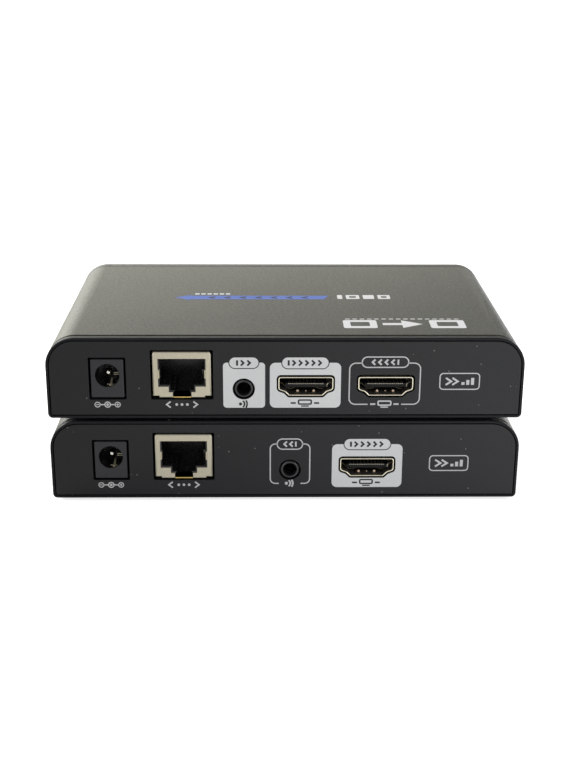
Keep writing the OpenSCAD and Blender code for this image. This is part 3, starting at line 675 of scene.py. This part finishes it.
def video_rim(m, x):
    """A thin rounded shell; its inner wall is painted darker, as painted shade."""
    base = moved(video_loop(), x, VIDEO_Z)
    rows = [(0.05, 11.8), (0.03, 0.2), (-0.01, 0.06), (-0.07, 0.01), (-0.13, 0), (-0.19, 0.01), (-0.26, 0.06),
            (-0.31, 0.22), (-0.31, 11.8)]
    rings = [m.ring(offset(base, o), PORT + y) for o, y in rows]
    for i, (a, b) in enumerate(zip(rings, rings[1:] + rings[:1])):
        m.ink = int(i == len(rings) - 2)
        m.band(a, b)
    m.ink = 0
    for sx in (-1, 1):
        for y in (5, 9):
            a, b = sorted((x + sx * 7.1, x + sx * 7.5))
            m.box(a, PORT + y, TOP, b, PORT + y + 2, VIDEO_Z + 4.6)


def video_tongue(m, x):
    """The back wall inside the shell, the tongue, and a paler strip at its right that is a painted
    reflection.
    """
    half = 5.7
    m.ink = 0
    m.prism(offset(moved(video_loop(), x, VIDEO_Z), -0.45), PORT + 10.4, PORT + 11.9)
    m.prism(rect(x - half, TONGUE_Z, x + half, TONGUE_Z + TONGUE_T, 0.2, 3), PORT + 1.5, PORT + 11,
            edge=0.1, steps=2)
    # Painted reflection: a pale upright strip at the right of the tongue
    m.ink = 1
    m.box(x + 5.85, PORT + 3.6, VIDEO_Z + 1.2, x + 7.05, PORT + 3.9, VIDEO_Z + 4.9)


def video_pins(m, x):
    """Ten contacts above the tongue and nine below it, and the strip of their 19 ends along its front."""
    # Painted shade: the contacts get a dark copy of the contact colour
    m.ink = 0
    half, thick = 0.18, 0.12
    for count, v in ((10, TONGUE_Z + TONGUE_T - 0.04), (9, TONGUE_Z - 0.08)):
        for i in range(count):
            u = x + i - (count - 1) / 2
            m.box(u - half, PORT + 1.95, v, u + half, PORT + 10.4, v + thick)
    m.ink = 1
    m.box(x - 4.95, PORT + 1.46, TONGUE_Z + 0.98, x + 4.95, PORT + 1.8, TONGUE_Z + TONGUE_T, 0.05)
    m.ink = 2
    pitch, half = 0.52, 0.13
    for i in range(19):
        u = x + (i - 9) * pitch
        m.box(u - half, PORT + 1.4, TONGUE_Z + 1.0, u + half, PORT + 1.6, TONGUE_Z + 1.18, 0.04)


def video_springs(m, x):
    """Thin springs of the shell, their round ends, and a pale mark at the right that is a painted highlight
    on its spring.
    """
    def wire(points, w, y0, y1, edge=0.0):
        m.prism(pen([(x + u, VIDEO_Z + v) for u, v in points], w), PORT + y0, PORT + y1, edge=edge)

    # Painted shade: the springs get a dark copy of the contact colour
    m.ink = 0
    lines = {-1: [(-6.95, 3.2), (-6.4, 2.9), (-5.0, 1.5), (-3.7, 1.45), (-2.95, 1.8)],
             1: [(2.95, 1.8), (3.7, 1.45), (4.8, 1.4)]}
    for sx, line in lines.items():
        u = x + sx * 2.2
        m.box(u - 0.7, PORT + 1.3, VIDEO_Z + 0.38, u + 0.7, PORT + 6, VIDEO_Z + 0.52, 0.05)
        wire(line, 0.13, 2.0, 2.3)
    wire([(7.08, 3.35), (6.5, 3.15), (5.95, 2.7)], 0.18, 1.9, 4.6)
    m.ink = 1
    turns = [k * math.pi / 10 for k in range(11)]
    for u, r in ((x - 2.2, 0.36), (x + 2.2, 0.36), (x + 0.05, 0.16)):
        dome = [(r * math.sin(t), PORT + 1.62 - 0.62 * r * math.cos(t)) for t in turns]
        m.lathe(dome, u, VIDEO_Z + 0.86, 20)
    # Painted highlight on the right spring
    m.ink = 2
    wire([(6.15, 2.95), (5.75, 2.5), (5.95, 1.95)], 0.3, 1.8, 2.6, 0.06)


def video_sockets(unit, p, body):
    """Each kind of piece as one mesh for all the video sockets of the box."""
    many = "s" if len(p["videos"]) > 1 else ""
    for build, name, paints, slot, replaced in (
            (video_rim, "rims", ["shell_nickel", "inside_painted_shade"], "shell_nickel",
             [f"{unit}_video_jack_shell{many}"]),
            (video_tongue, "tongues", ["tongue_plastic", "liner_and_reflection_grey"], "socket_plastic",
             [f"{unit}_video_jack_tongue{many}"]),
            (video_pins, "pins", ["contact_painted_shade", "edge_grey", "cream_contact_and_highlight"], "contact_gold",
             [f"{unit}_video_jack_contacts"]),
            (video_springs, "springs", ["contact_painted_shade", "dot_tan", "cream_contact_and_highlight"], "shell_nickel", [])):
        m = Mesh()
        for x in p["videos"]:
            build(m, x)
        m.piece(f"{unit}_video_{name}", paints, body, replaced, p["z"])


def eye_socket(unit, p, body):
    """A round nose with a lip, on a block; its profile has depths behind the front of the box."""
    x, root, floor, back, half, height = p["eye"], 2.7, 12.5, 14.1, 3.5, 5.4
    nose = [(2.7, root), (2.7, 0.8), (2.66, 0.58), (2.56, 0.38), (2.42, 0.22), (2.26, 0.13), (2.12, 0.12),
            (1.99, 0.18), (1.9, 0.34), (1.84, 0.6), (1.8, 1.0), (1.8, floor), (0, floor)]
    m = Mesh()
    m.lathe([(r, FRONT + y) for r, y in nose], x, EYE_Z, 64)
    m.prism(rect(x - half, TOP, x + half, TOP + height, 0.2, 2), FRONT + root, FRONT + back,
            pockets=[(disc(x, EYE_Z, 1.85, 56), FRONT + floor + 0.1)])
    m.piece(f"{unit}_eye_socket", ["eye_plastic"], body,
            [f"{unit}_eye_jack_housing"], p["z"])


def controls(unit, z, box, button):
    """The rods of the two lights and the button's cap; their profiles have depths behind the far face."""
    rod = [(0, 0.02), (0.5, 0.06), (1.0, 0.2), (1.3, 0.4), (1.45, 0.65), (1.45, 1.65), (2.3, 1.65),
           (2.3, 3.2), (1.45, 3.2), (1.45, 6), (0, 6)]
    m = Mesh()
    for x in LIGHT_XS:
        m.lathe([(r, REAR - y) for r, y in rod], x, CONTROL_Z, 40)
    m.piece(f"{unit}_light_rods", ["pipe_plastic"], box, [f"{unit}_light_pipes"], z)
    cap = [(0, 0.28), (0.9, 0.24), (1.3, 0.14), (1.6, 0.1), (1.8, 0.16), (1.9, 0.34), (1.9, 1.7), (2.9, 1.7),
           (2.9, 3.1), (1.9, 3.1), (1.9, 5.5), (0, 5.5)]
    m = Mesh()
    m.lathe([(r, REAR - y) for r, y in cap], BUTTON_X, CONTROL_Z, 40)
    m.piece(f"{unit}_button_cap", ["button_plastic"], button, [f"{unit}_reset_button"], z)


# Signs in ink; the words of the real thing give way to plain signs
def draw(shapes, w0, name, paint, body, lift, way="y", s=-1):
    """Thin ink on the plane w0, on its side s; each shape is a loop or a tuple of a loop and its holes."""
    m = Mesh()
    for shape in shapes:
        outer, *holes = shape if isinstance(shape, tuple) else (shape,)
        m.prism(outer, w0 + s * INK, w0, holes, way=way)
    m.piece(name, [paint], body, lift=lift, weighted=False)


def ring_line(loop, w):
    """A closed line of width w inside the loop."""
    return loop, offset(loop, -w)


def chevron(u, v, h, d, w):
    """An angle bracket with its tip at (u, v); a positive d opens it to the left."""
    return pen([(u - d, v + h / 2), (u, v), (u - d, v - h / 2)], w)


def arc_pen(u, v, r, a0, a1, w, n=10):
    """An arc from a0 to a1 degrees, drawn with a pen of width w."""
    return pen(arc(u, v, r, math.radians(a0), math.radians(a1), n), w)


def sign_out(u, v, count):
    """A bar with brackets that lead away from it."""
    h, pitch, w = 1.5, 1.75, 0.52
    start = u - pitch * count / 2
    bar = rect(start - 0.3, v - h / 2, start + 0.25, v + h / 2)
    return [bar] + [chevron(start + pitch * (i + 0.85) + 0.25, v, h, h / 2, w) for i in range(count)]


def sign_in(u, v, count, pitch):
    """Brackets that lead to a bar."""
    h, w = 1.5, 0.5
    start = u + pitch * count / 2
    bar = rect(start - 0.22, v - h / 2, start + 0.25, v + h / 2)
    return [bar] + [chevron(start - pitch * (i + 0.85) - 0.25, v, h, -h / 2, w) for i in range(count)]


def sign_screen(u, v):
    """A screen on its foot, with a dash at each side."""
    return [ring_line(rect(u - 1.95, v - 0.5, u + 1.95, v + 1.1, 0.46, 3), 0.42),
            rect(u - 1.05, v - 1.05, u + 1.05, v - 0.68),
            rect(u - 3.9, v - 0.22, u - 2.5, v + 0.26), rect(u + 2.5, v - 0.22, u + 3.9, v + 0.26)]


def sign_eye(u, v):
    """A dot with two waves that leave it."""
    start, w = u - 1.0, 0.46
    waves = [arc_pen(start, v, r, -turn, turn, w) for r, turn in ((1.1, 54), (1.8, 36))]
    return [disc(start, v, 0.45, 20)] + waves


def sign_network(u, v):
    """Three dots between two brackets."""
    brackets = [chevron(u + s * 4.2, v, 1.75, s * 1.1, 0.42) for s in (-1, 1)]
    return brackets + [disc(u + i * 1.45, v, 0.38, 20) for i in (-1, 0, 1)]


def sign_power(u, v):
    """Minus ring, centre ring and plus ring in a row, joined by lines."""
    w, side = 0.3, 2.75
    out = [ring_line(disc(u, v, 0.9, 28), w), disc(u, v, 0.36, 20)]
    for s in (-1, 1):
        out.append(ring_line(disc(u + s * side, v, 0.82, 28), 0.24))
        out.append(rect(u + s * 1.4 - 0.5, v - w / 2, u + s * 1.4 + 0.5, v + w / 2))
        out.append(rect(u + s * side - 0.38, v - 0.12, u + s * side + 0.38, v + 0.12))
    for v0, v1 in ((0.12, 0.38), (-0.38, -0.12)):
        out.append(rect(u + side - 0.11, v + v0, u + side + 0.11, v + v1))
    return out


def pill(u0, v0, u1, v1):
    """A box whose ends are round."""
    return rect(u0, v0, u1, v1, (v1 - v0) / 2 - 0.01, 12)


def notched(u0, v0, u1, v1, r, p):
    """A rounded plate whose upper edge dips under the pill p, with a gap round it."""
    gap, n = 0.27, 6
    a, b, c, d = p
    dip_r = (d - b) / 2 + gap
    mid = (b + d) / 2
    left, right = a - gap + dip_r, c + gap - dip_r
    edge = math.atan2(v1 - mid, math.sqrt(max(dip_r * dip_r - (v1 - mid) ** 2, 0.0)))
    plate = rect(u0, v0, u1, v1, r, n)
    three = 3 * (n + 1)
    down = -math.pi / 2
    dip = arc(right, mid, dip_r, edge, down) + arc(left, mid, dip_r, down, 2 * down - edge)
    return plate[:three] + dip + plate[three:]


def open_box(u0, v0, u1, v1, r, top, bottom):
    """A box of lines, broken between the two places of top=(a, b) and of bottom=(a, b)."""
    w, n = 0.33, 6
    h = w / 2
    loop = rect(u0 + h, v0 + h, u1 - h, v1 - h, r, n)
    one, three = n + 1, 3 * (n + 1)
    right = [(bottom[1], v0 + h), *loop[one:three], (top[1], v1 - h)]
    left = [(top[0], v1 - h), *loop[three:], *loop[:one], (bottom[0], v0 + h)]
    return [pen(right, w), pen(left, w)]


def panel_prints(unit, p, body):
    """Silver tags (place, corner radius, pill, cut-out), a box of lines with its pill, a badge and signs."""
    z = p["z"]
    silver, light, dark = [], [], []
    light += sign_power(POWER_X - 0.2, 3.95) + sign_network(LAN_X - 0.1, 3.95)
    if unit == "sender":
        eye_hole = disc(p["eye"], EYE_Z, EYE_HOLE)
        tags = [((-17.0, 3.0, -5.6, 16.05), 1.0, (-15.25, 14.5, -7.4, 17.5), eye_hole),
                ((-4.3, 3.0, 15.05, 16.0), 1.5, (-0.95, 14.4, 11.6, 17.5), video_hole(p["videos"][0]))]
        dark += sign_eye(-11.3, 4.1) + sign_screen(5.3, 4.35)
        dark += sign_out(-11.4, 15.95, 2) + sign_out(5.2, 15.95, 5)
        box, r, tab, gap = (17.2, 3.8, 36.8, 16.05), 1.7, (20.55, 14.5, 33.5, 17.8), (22.5, 31.7)
        light += sign_screen(27.1, 4.0) + sign_in(27.0, 16.15, 4, 1.75)
        badge = (41.9, 8.16, 53.0, 13.07)
    else:
        tags = [((13.0, 3.15, 32.6, 16.15), 1.5, (16.4, 14.6, 29.15, 17.7), video_hole(p["videos"][0]))]
        dark += sign_screen(22.65, 4.55) + sign_out(22.6, 16.15, 5)
        box, r, tab, gap = (-4.33, 4.15, 7.0, 16.4), 1.4, (-2.42, 14.5, 4.95, 17.9), (-1.8, 4.3)
        light += sign_eye(1.35, 4.35) + sign_in(1.3, 16.2, 2, 1.6)
        badge = (40.1, 8.0, 51.15, 12.8)
    for place, corner, q, hole in tags:
        silver += [(notched(*place, corner, q), hole), pill(*q)]
    light += open_box(*box, r, (tab[0] + 0.2, tab[2] - 0.2), gap)
    light += [ring_line(pill(*tab), 0.33), ring_line(rect(*badge, 1.1, 6), 0.31)]
    cu, cv = (badge[0] + badge[2]) / 2, (badge[1] + badge[3]) / 2
    light += [chevron(cu + du, cv, 2.0, 1.5, 0.52) for du in (-2.3, -0.5)]
    light += [rect(cu + 0.5 + i * 1.3, cv - 1.0, cu + 1.35 + i * 1.3, cv - 0.2 + i * 0.6) for i in range(3)]
    draw(silver, FACE, f"{unit}_print_silver", "print_silver", body, z)
    draw(light, FACE, f"{unit}_print_light", "print_white", body, z)
    draw(dark, FACE - INK, f"{unit}_print_dark", "print_dark", body, z)


def cover_prints(unit, p, body):
    """At the back a blue arrow and white marks, and nearer the front one screen that sends to another."""
    top, shift, rear_group = H - SKIN, 1.1, 30

    def y(v):
        """The place on the cover, measured from its front; the rear group is shifted toward the front."""
        return v + FRONT - (shift if v > rear_group else 0)

    def screen(u0, u1):
        return rect(u0, y(9.2), u1, y(16.7), 0.8, 4), rect(u0 + 2, y(11.0), u1 - 2, y(15.0), 0.4, 4)

    blue = [outline((-32.4, y(41.0)), (-27.6, y(38.1)), (-28.3, y(39.1)), (11.8, y(39.1)), (13.4, y(42.9)),
                    (-28.3, y(42.9)), (-27.6, y(43.8)))]
    white = []
    for u0, u1 in ((16.0, 17.5), (18.6, 22.6), (23.7, 27.0), (28.1, 31.8)):
        shape = rect(u0, y(39.5), u1, y(43.7), 0.3, 2)
        white.append((shape, rect(u0 + 1.0, y(40.7), u1 - 1.0, y(42.5))) if u1 - u0 > 3.5 else shape)
    white += [rect(-26.6 + i * 1.85, y(44.3), -25.3 + i * 1.85, y(45.5), 0.15, 2) for i in range(6)]
    arrow = outline((27.2, y(12.0)), (32.6, y(12.0)), (32.6, y(9.4)), (38.4, y(12.95)), (32.6, y(16.5)),
                    (32.6, y(13.9)), (27.2, y(13.9)))
    white += [screen(16.2, 25.6), arrow, screen(40.4, 50.2)]
    white += [rect(17.0 + i * 2.05, y(17.5), 18.3 + i * 2.05, y(18.1), 0.1, 2) for i in range(16)]
    dark = [chevron(-22.0 + i * 4.6, y(41.0), 2.0, -1.6, 0.7) for i in range(7)]
    draw(blue, top, f"{unit}_cover_print_blue", "print_blue", body, p["z"], "z", 1)
    draw(white, top, f"{unit}_cover_print_white", "print_cover", body, p["z"], "z", 1)
    draw(dark, top + INK, f"{unit}_cover_print_dark", "print_dark", body, p["z"], "z", 0.4)


def rear_prints(unit, z, body):
    """Rings round the lights and the button, with signs for power, link and reset below them."""
    v, w = 6.3, 0.25
    light = [ring_line(disc(x, CONTROL_Z, 2.3, 40), w) for x in LIGHT_XS]
    u = LIGHT_XS[0]
    light += [arc_pen(u, v, 0.9, 125, 415, w, 20), rect(u - 0.13, v + 0.1, u + 0.13, v + 1.2)]
    u = LIGHT_XS[1]
    light += [chevron(u - 1.6, v, 1.5, -0.8, w), chevron(u + 1.6, v, 1.5, 0.8, w), disc(u, v, 0.3, 20)]
    u = BUTTON_X
    light += [ring_line(disc(u, CONTROL_Z, 2.9, 40), w), arc_pen(u, v, 0.9, 60, 360, w, 20),
              outline((u + 0.9, v - 0.75), (u + 1.35, v + 0.1), (u + 0.45, v + 0.1))]
    draw(light, -FACE, f"{unit}_rear_print", "print_white", body, z, "y", 1)


for unit, p in UNITS.items():
    body = f"{unit}_box"
    cover(unit, p["z"], body)
    bezel(unit, p["z"], body, 1, "socket_bezel", "connector_bezel")
    bezel(unit, p["z"], body, -1, "rear_bezel", "indicator_bezel")
    plates(unit, p, body)
    feet(unit, p["z"], body)
    power_socket(unit, p["z"], body)
    network_socket(unit, p["z"], body)
    video_sockets(unit, p, body)
    eye_socket(unit, p, body)
    controls(unit, p["z"], body, f"{unit}_button")
    panel_prints(unit, p, body)
    cover_prints(unit, p, body)
    rear_prints(unit, p["z"], body)


# Floor: white to the camera and in reflections, with the shadow kept
def white_paint(name, base, lift):
    """Plain paint with a glow that only the camera and reflections see, there stronger toward the right."""
    m = bpy.data.materials.new(name)
    t = Nodes(m)
    path = t.put("LightPath", {})
    across = t.put("SeparateXYZ", {0: t.put("TexCoord", {})["Object"]})["X"]
    shine = t.calc("MULTIPLY", path["Is Glossy Ray"], t.spread(across, -0.08, 0.08, 0.0, 1.8))
    seen = t.calc("MAXIMUM", path["Is Camera Ray"], shine)
    glow = t.put("Emission", {"Strength": t.calc("MULTIPLY", seen, lift)})
    diffuse = t.put("BsdfDiffuse", {0: (base, base, base, 1)})
    t.put("OutputMaterial", {0: t.put("AddShader", {0: diffuse[0], 1: glow[0]})[0]})
    return m


FLOOR_M = 6
mesh = bpy.data.meshes.new("floor")
corners = [(u * FLOOR_M, v * FLOOR_M, 0) for u, v in ((-1, -1), (1, -1), (1, 1), (-1, 1))]
mesh.from_pydata(corners, [], [(0, 1, 2, 3)])
mesh.materials.append(white_paint("floor_white", 0.8, 0.72))
floor = bpy.data.objects.new("floor", mesh)
bpy.context.scene.collection.objects.link(floor)

# World: white to the camera, a soft slope from left to right in reflections, weaker as plain light
world = bpy.data.worlds.new("studio")
bpy.context.scene.world = world
t = Nodes(world)
path = t.put("LightPath", {})
across = t.put("SeparateXYZ", {0: t.put("TexCoord", {})["Generated"]})["X"]
slope = t.calc("ADD", t.spread(across, -0.45, 0.45, 0.8, 0.3), t.spread(across, -0.5, -0.16, 1.4, 0.0))
shiny = t.calc("MULTIPLY", path["Is Glossy Ray"], slope)
clear = t.calc("MAXIMUM", path["Is Camera Ray"], path["Is Transmission Ray"])
plain = t.calc("MULTIPLY", path["Is Diffuse Ray"], 0.62)
level = t.calc("MAXIMUM", t.calc("MAXIMUM", shiny, clear), plain)
t.put("OutputWorld", {0: t.put("Background", {0: (1, 1, 1, 1), 1: level})[0]})


def lamp(name, place, aim, size, power, colour=(1, 1, 1)):
    """An area lamp at place that faces aim; places and sizes in metres, power in watts."""
    data = bpy.data.lights.new(name, "AREA")
    data.shape = "RECTANGLE"
    data.size, data.size_y = size
    data.energy = power
    data.color = colour
    o = bpy.data.objects.new(name, data)
    o.location = place
    o.rotation_euler = (Vector(aim) - Vector(place)).to_track_quat("-Z", "Y").to_euler()
    bpy.context.scene.collection.objects.link(o)


lamp("key", (-0.7, 0.5, 0.6), (0, 0, 0.03), (0.6, 0.6), 8.0, (1, 0.995, 0.86))
lamp("rim", (-0.1, 0.195, 0.088), (0, 0, 0.048), (0.6, 0.05), 0.145, (1, 0.995, 0.83))
lamp("fill", (0.3, -0.25, 0.16), (0.05, -0.04, 0.02), (0.2, 0.2), 0.5)

# Camera at the photograph's angle, in radians, place in millimetres and focal length in pixels of its height
YAW, PITCH, ROLL = 0.0174, 0.3428, 0.0052
PLACE_MM = Vector((-5.773, -361.356, 150.772))
FOCAL, PHOTO_H, SENSOR = 1255.34, 760, 36
ahead = Vector((math.sin(YAW) * math.cos(PITCH), math.cos(YAW) * math.cos(PITCH), -math.sin(PITCH)))
level_right = Vector((math.cos(YAW), -math.sin(YAW), 0))
level_up = level_right.cross(ahead)
right = level_right * math.cos(ROLL) + level_up * math.sin(ROLL)
up = level_up * math.cos(ROLL) - level_right * math.sin(ROLL)
camera = bpy.data.objects.new("camera", bpy.data.cameras.new("camera"))
camera.matrix_world = Matrix.Translation(PLACE_MM * MM) @ Matrix((right, up, -ahead)).transposed().to_4x4()
camera.data.sensor_width = SENSOR
camera.data.lens = FOCAL * SENSOR / PHOTO_H
camera.data.clip_start, camera.data.clip_end = 0.01, 50
bpy.context.scene.collection.objects.link(camera)
bpy.context.scene.camera = camera
bpy.context.scene.view_settings.view_transform = "Standard"
